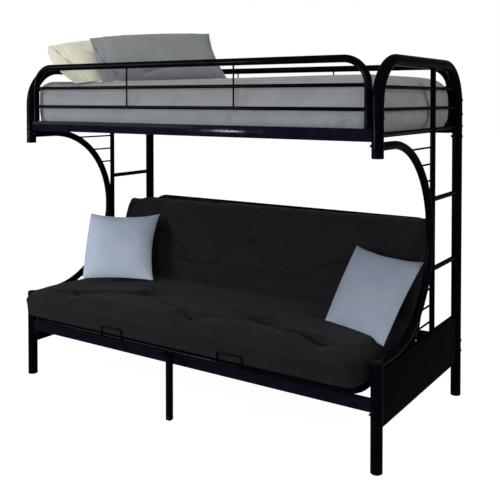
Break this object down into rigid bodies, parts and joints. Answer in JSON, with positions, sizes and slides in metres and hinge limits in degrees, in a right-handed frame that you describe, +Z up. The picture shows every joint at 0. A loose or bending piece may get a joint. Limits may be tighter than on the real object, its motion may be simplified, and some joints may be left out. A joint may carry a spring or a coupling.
{
  "type": "futon bunk bed",
  "caption": "Tubular steel bunk with C-shaped ends, guard rails and a made-up upper bed over a futon sofa whose seat slides out as its back folds flat.",
  "frame": {"origin": "on the floor under the centre of the bed's bounding box", "axes": "+X along the bed to the right seen from the front, +Y to the back, +Z up; the seat slides out towards -Y"},
  "size_m": [2.04, 1.1, 1.823],
  "materials": {
    "gloss_black_steel": "gloss black powder coat",
    "black_rail_steel": "semi-gloss black powder coat",
    "black_zinc": "black zinc plate",
    "black_plastic": "fine moulded grain",
    "nylon": "moulded",
    "charcoal_twill": "brushed twill",
    "grey_sheet": "brushed cotton",
    "grey_pillowcase": "brushed cotton",
    "cream_pillowcase": "plain cotton",
    "pale_blue_fabric": "smooth woven polyester"
  },
  "bodies": {
    "bunk_frame": {"left_end_hoop": "gloss_black_steel", "right_end_hoop": "gloss_black_steel", "left_front_leg": "gloss_black_steel", "right_front_leg": "gloss_black_steel", "left_c_tube": "gloss_black_steel", "right_c_tube": "gloss_black_steel", "left_ladder_post": "gloss_black_steel", "right_ladder_post": "gloss_black_steel", "left_ladder_rung_lower": "gloss_black_steel", "right_ladder_rung_lower": "gloss_black_steel", "left_ladder_rung_upper": "gloss_black_steel", "right_ladder_rung_upper": "gloss_black_steel", "left_hoop_bar_top": "gloss_black_steel", "right_hoop_bar_top": "gloss_black_steel", "left_hoop_bar_middle": "gloss_black_steel", "right_hoop_bar_middle": "gloss_black_steel", "left_hoop_bar_bottom": "gloss_black_steel", "right_hoop_bar_bottom": "gloss_black_steel", "left_end_panel": "gloss_black_steel", "right_end_panel": "gloss_black_steel", "left_front_foot": "black_plastic", "right_front_foot": "black_plastic", "left_rear_foot": "black_plastic", "right_rear_foot": "black_plastic", "left_front_leg_cap": "black_plastic", "right_front_leg_cap": "black_plastic", "left_hoop_end_cap": "black_plastic", "right_hoop_end_cap": "black_plastic", "upper_front_rail": "black_rail_steel", "upper_back_rail": "black_rail_steel", "lower_front_rail": "black_rail_steel", "lower_back_rail": "black_rail_steel", "upper_slat_frame": "black_rail_steel", "front_guard_hoop": "gloss_black_steel", "back_guard_hoop": "gloss_black_steel", "front_guard_bar_lower": "gloss_black_steel", "front_guard_bar_upper": "gloss_black_steel", "back_guard_bar_lower": "gloss_black_steel", "back_guard_bar_upper": "gloss_black_steel", "left_seat_runner": "black_rail_steel", "right_seat_runner": "black_rail_steel", "upper_mattress": "grey_sheet", "grey_bed_pillow": "grey_pillowcase", "cream_bed_pillow": "cream_pillowcase"},
    "seat": {"seat_frame_tube": "gloss_black_steel", "seat_deck": "black_rail_steel", "left_mattress_retainer": "gloss_black_steel", "right_mattress_retainer": "gloss_black_steel", "centre_leg": "gloss_black_steel", "centre_leg_foot": "black_plastic", "left_seat_glide": "nylon", "right_seat_glide": "nylon", "left_hinge_pin": "black_zinc", "right_hinge_pin": "black_zinc", "futon_seat_pad": "charcoal_twill", "left_throw_pillow": "pale_blue_fabric", "right_throw_pillow": "pale_blue_fabric"},
    "back": {"back_frame_tube": "gloss_black_steel", "back_deck": "black_rail_steel", "futon_back_pad": "charcoal_twill"}
  },
  "joints": [
    {"name": "seat_slide", "type": "slide", "parent": "bunk_frame", "child": "seat", "axis": [0, -1, 0], "range_m": [0, 0.35]},
    {"name": "back_fold", "type": "hinge", "parent": "seat", "child": "back", "pos_m": [0, 0.1685, 0.32], "axis": [-1, 0, 0], "range_deg": [0, 60.5]}
  ],
  "couplings": [
    {"joint": "back_fold", "follows": "seat_slide", "rad_per_m": 3.0169}
  ]
}
